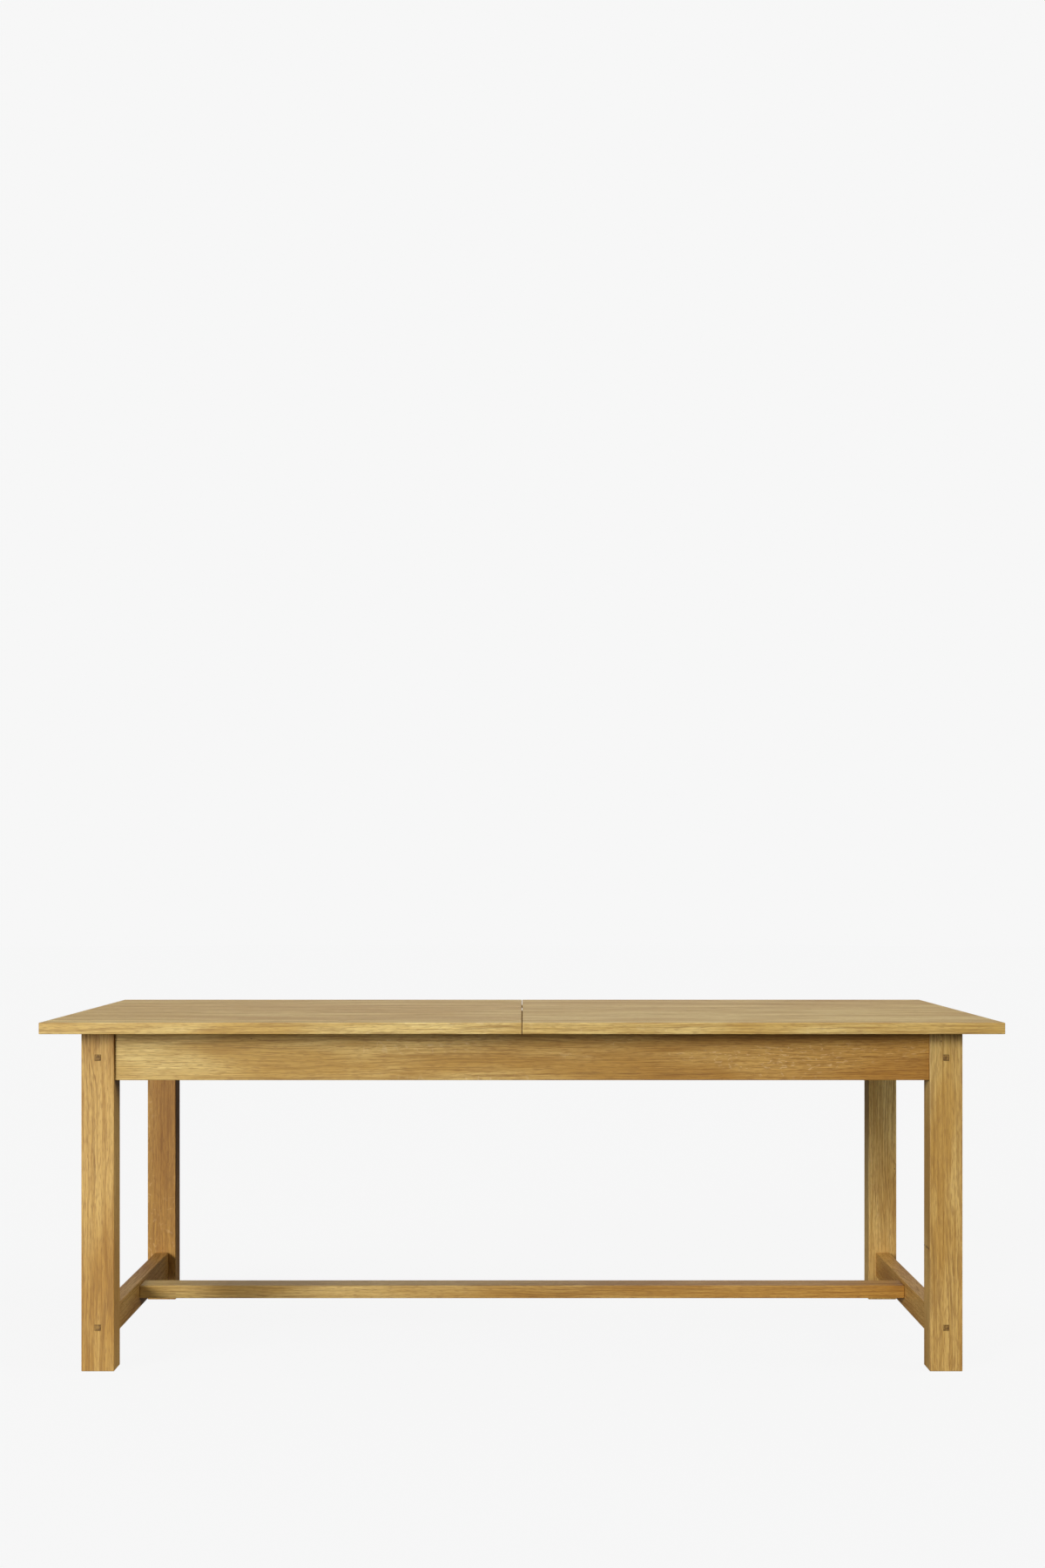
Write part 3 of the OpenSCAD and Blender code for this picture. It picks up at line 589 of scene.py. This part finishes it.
def board(name, low, high, grain, looks, node, pockets=None):
    """A solid board of the frame with eased edges, less the pockets cut into it."""
    bm = bmesh.new()
    add_box(bm, low, high)
    ease(bm, ARRIS)
    piece = finish_mesh(bm, name, [OAK[grain]])
    if pockets:
        cut(piece, pockets)
    mark_board(piece, log_place((low + high) / 2, grain, looks["heart"]), looks, "xyz".index(grain))
    settle(piece, "frame", "oak_frame", node)


leg_boxes = {(end, side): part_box(f"leg_{end}_{side}") for end in ENDS for side in SIDES}
inner_leg_x = leg_boxes["front", "right"][0].x
inner_leg_y = leg_boxes["rear", "right"][0].y

# Leg tones are set to how each leg is lit: partly the wood's own tone, partly painted light and shade.
# The rear left leg is deepened as painted shade under the top, and the rear right leg is paled towards
# its top as painted light.
LEG_LOOKS = {
    ("front", "left"): look((0.070, 0.020), (0.58, 0.60)),
    ("front", "right"): look((0.085, -0.030), (0.62, 0.28)),
    ("rear", "left"): look((0.010, 0.110), (0.95, 0.80), (1.0, 1.0)),
    ("rear", "right"): look((0.055, 0.070), (0.65, 0.0)),
}
PEG_GAP = 0.35 * MM
PEG_POCKET_DEPTH = 3 * MM
for (end, side), (low, high) in leg_boxes.items():
    pockets = bmesh.new()
    for node in ("apron_pegs", "stretcher_bolt_plugs"):
        peg_low, peg_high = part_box(node)
        half = (peg_high.z - peg_low.z) / 2 + PEG_GAP
        centre = Vector(((low.x + high.x) / 2, high.y if end == "rear" else low.y,
                         (peg_low.z + peg_high.z) / 2))
        reach = Vector((half, PEG_POCKET_DEPTH, half))
        add_box(pockets, centre - reach, centre + reach)
    board(f"leg_{end}_{side}_oak", low, high, "z", LEG_LOOKS[end, side], f"leg_{end}_{side}", pockets)

APRON_LOOKS = {
    # The front apron deepens towards its right end: partly the board's own colour, partly painted shade
    # where less light reaches it
    "front": look((0.030, -0.075), (0.0, 0.9), (0.0, 1.0)),
    "rear": look((0.085, 0.050), (0.4, 0.6)),
}
for end in ENDS:
    low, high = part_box(f"apron_{end}")
    low.x, high.x = -inner_leg_x + JOINT_GAP, inner_leg_x - JOINT_GAP
    board(f"apron_{end}_oak", low, high, "x", APRON_LOOKS[end], f"apron_{end}")

END_LOOKS = {
    "left": look((0.080, 0.060), (0.7, 0.9)),
    "right": look((-0.040, 0.090), (0.7, 0.9)),
}
for side in SIDES:
    for node in (f"apron_{side}", f"end_stretcher_{side}"):
        low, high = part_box(node)
        low.y, high.y = -inner_leg_y + JOINT_GAP, inner_leg_y - JOINT_GAP
        board(f"{node}_oak", low, high, "y", END_LOOKS[side], node)

end_stretcher_low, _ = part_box("end_stretcher_right")
low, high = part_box("centre_stretcher")
low.x, high.x = -end_stretcher_low.x + JOINT_GAP, end_stretcher_low.x - JOINT_GAP
# The centre stretcher deepens towards its right end as painted shadow of the right-hand legs
board("centre_stretcher_oak", low, high, "x", look((0.075, 0.040), (0.10, 1.0)), "centre_stretcher")

PEG_EASE = 0.8 * MM
PEG_PROUD = 0.3 * MM
PEG_LENGTH = 10 * MM


def pegs(name, node):
    """Four square pegs, a hair proud of the legs."""
    low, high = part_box(node)
    peg_w = high.z - low.z
    half = Vector((peg_w, PEG_LENGTH, peg_w)) / 2
    bm = bmesh.new()
    for sign_x in (-1, 1):
        for sign_y in (-1, 1):
            centre = Vector((sign_x * (high.x - half.x),
                             sign_y * (high.y + PEG_PROUD - half.y), (low.z + high.z) / 2))
            add_box(bm, centre - half, centre + half)
    ease(bm, PEG_EASE)
    settle(finish_mesh(bm, name, [END_GRAIN]), "frame", "oak_end_grain", node)


pegs("apron_pegs_oak", "apron_pegs")
pegs("bolt_plugs_oak", "stretcher_bolt_plugs")

# The top and the leaf are glued up from lengthwise staves
STAVE_WIDTHS = (0.118, 0.142, 0.126, 0.151, 0.109, 0.137, 0.128, 0.139)
LEAF_GLUE_LINES = (-0.131, 0.004, 0.128)
DEEPEST_STAVE_TONE = 0.3
STAVE_RAYS = 0.2
END_GRAIN_NORMAL = 0.8
DOWEL_HOLE_R = 4.3 * MM
DOWEL_HOLE_DEPTH = 14 * MM
DOWEL_Y = (0.140, 0.420)


def stave_edges(low, high):
    """Y of the glue lines between two long edges, from the stave widths."""
    edges = [low]
    for width in STAVE_WIDTHS:
        edges.append(edges[-1] + width * (high - low) / sum(STAVE_WIDTHS))
    return edges


def panel(name, low, high, glue_lines, body, slot, node):
    """A panel of staves: one eased slab, parted on the glue lines so each stave has its own grain."""
    bm = bmesh.new()
    add_box(bm, low, high)
    ease(bm, ARRIS)
    for y in glue_lines:
        if low.y < y < high.y:
            bmesh.ops.bisect_plane(bm, geom=bm.verts[:] + bm.edges[:] + bm.faces[:],
                                   plane_co=(0, y, 0), plane_no=(0, 1, 0))
    board_layer = bm.faces.layers.float_vector.new("board")
    tone_layer = bm.faces.layers.float.new("tone")
    ray_layer = bm.faces.layers.float.new("rays")
    bounds = [low.y] + [y for y in glue_lines if low.y < y < high.y] + [high.y]
    staves = []
    for first, last in zip(bounds, bounds[1:]):
        centre = Vector(((low.x + high.x) / 2, (first + last) / 2, (low.z + high.z) / 2))
        heart = (randoms.uniform(-HEART_ASIDE, HEART_ASIDE),
                 randoms.choice((-1, 1)) * randoms.uniform(*HEART_BELOW))
        # The first stave, at the front edge, is the palest
        staves.append((log_place(centre, "x", heart),
                       randoms.uniform(0.0, DEEPEST_STAVE_TONE) if staves else 0.0))
    for face in bm.faces:
        y = face.calc_center_median().y
        index = sum(y > edge for edge in bounds[1:-1])
        face[board_layer], face[tone_layer] = staves[index]
        # End grain drinks more oil, so it is deeper
        if abs(face.normal.x) > END_GRAIN_NORMAL:
            face[tone_layer] = 1.0
        face[ray_layer] = STAVE_RAYS
    return settle(finish_mesh(bm, name, [OAK["x"]]), body, slot, node)


def drill_dowel_holes(piece, x, y_places, z):
    """Drills a row of dowel holes into the left-hand edge of a panel."""
    drill(piece, [Vector((x, y, z)) for y in y_places], DOWEL_HOLE_R, DOWEL_HOLE_DEPTH,
          Vector((1, 0, 0)))


# The top halves meet closer than their collision shapes: a saw-thin seam
SEAM_REACH = 0.25 * MM
top_edges = stave_edges(*(corner.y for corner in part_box("top_left")))
top_low, top_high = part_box("top_right")
for side in SIDES:
    low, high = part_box(f"top_{side}")
    if side == "left":
        high.x += SEAM_REACH
    else:
        low.x -= SEAM_REACH
    panel(f"top_{side}_oak", low, high, top_edges, f"{side}_half", "oak_top", f"top_{side}")
drill_dowel_holes(bpy.data.objects["top_right_oak"], top_low.x - SEAM_REACH,
                  [sign * y for sign in (-1, 1) for y in DOWEL_Y], (top_low.z + top_high.z) / 2)

for half in ("lower", "upper"):
    low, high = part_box(f"leaf_{half}")
    glue_lines = [(low.y + high.y) / 2 + y for y in LEAF_GLUE_LINES]
    board = panel(f"leaf_{half}_oak", low, high, glue_lines, "frame", "oak_top", f"leaf_{half}")
    drill_dowel_holes(board, low.x, [high.y - y for y in DOWEL_Y], (low.z + high.z) / 2)

# ---------------------------------------------------------------------------------------------
# Hidden timber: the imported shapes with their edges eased
# ---------------------------------------------------------------------------------------------

BEECH_ARRIS = 0.8 * MM
MERGE_REACH = 0.001 * MM
FLAT_ANGLE = math.radians(1)
SHARP_ANGLE = math.radians(40)
# Shorter edges belong to bores and are left sharp
SHORTEST_EASED = 8 * MM
# Nodes by the way their grain runs
HIDDEN_TIMBER = {
    "y": ("cross_rails_inner", "cross_rails_outer", "cleats_left", "cleats_right"),
    "x": ("fixed_rail_front", "fixed_rail_rear", "leaf_bearers", "corner_braces")
    + tuple(f"runner_{end}_{side}" for end in ENDS for side in SIDES),
}


def islands(bm):
    """The faces of each loose part of the bmesh."""
    left = set(bm.faces)
    while left:
        part, reached = set(), [left.pop()]
        while reached:
            face = reached.pop()
            part.add(face)
            near = {other for edge in face.edges for other in edge.link_faces} & left
            left -= near
            reached.extend(near)
        yield sorted(part, key=lambda face: face.index)


def hidden_timber(node, grain):
    """A packed timber part with its long edges eased; each loose board has its own place in a log."""
    packed = frame["nodes"][node]
    bm = bmesh.new()
    bm.from_mesh(packed.data)
    bmesh.ops.remove_doubles(bm, verts=bm.verts[:], dist=MERGE_REACH)
    bmesh.ops.dissolve_limit(bm, angle_limit=FLAT_ANGLE, verts=bm.verts[:], edges=bm.edges[:])
    sharp = [edge for edge in bm.edges if edge.calc_length() > SHORTEST_EASED
             and edge.calc_face_angle(0.0) > SHARP_ANGLE]
    bmesh.ops.bevel(bm, geom=sharp, offset=BEECH_ARRIS, offset_type="OFFSET", affect="EDGES",
                    segments=EASE_SEGMENTS, profile=0.5, material=-1, clamp_overlap=True)
    bm.faces.index_update()
    board_layer = bm.faces.layers.float_vector.new("board")
    for part in sorted(islands(bm), key=lambda faces: faces[0].index):
        centre = sum((face.calc_center_median() for face in part), Vector()) / len(part)
        heart = (randoms.uniform(-HEART_ASIDE, HEART_ASIDE), randoms.uniform(*HEART_BELOW))
        place = log_place(centre, grain, heart)
        for face in part:
            face[board_layer] = place
    settle(finish_mesh(bm, f"{node}_beech", [BEECH[grain]]), packed["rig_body"], "beech", node)


for grain, nodes in HIDDEN_TIMBER.items():
    for node in nodes:
        hidden_timber(node, grain)

# ---------------------------------------------------------------------------------------------
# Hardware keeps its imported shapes
# ---------------------------------------------------------------------------------------------

FINISHES = (
    (BEECH["x"], ("seam_dowels", "leaf_dowels")),
    (NYLON, tuple(f"rack_{end}_{side}" for end in ENDS for side in SIDES)
     + ("pinion_front", "pinion_rear")),
    (GLIDE_PLASTIC, ("floor_glides",)),
    (BRASS, ("leaf_hinges", "bolt_housings", "bolt_keepers", "seam_bolt_front", "seam_bolt_rear")),
    (ZINC, ("stretcher_bolts", "barrel_nuts", "brace_bolts", "rail_screws", "top_screws_left",
            "top_screws_right", "fixed_channels_front", "fixed_channels_rear",
            "moving_channels_left", "moving_channels_right", "pinion_brackets", "pinion_axles",
            "axle_clips") + tuple(f"ball_cage_{end}_{side}" for end in ENDS for side in SIDES)),
)
for material, names in FINISHES:
    for name in names:
        slots = frame["nodes"][name].data.materials
        slots.clear()
        slots.append(material)

low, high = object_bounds()
list(low)
list(high)
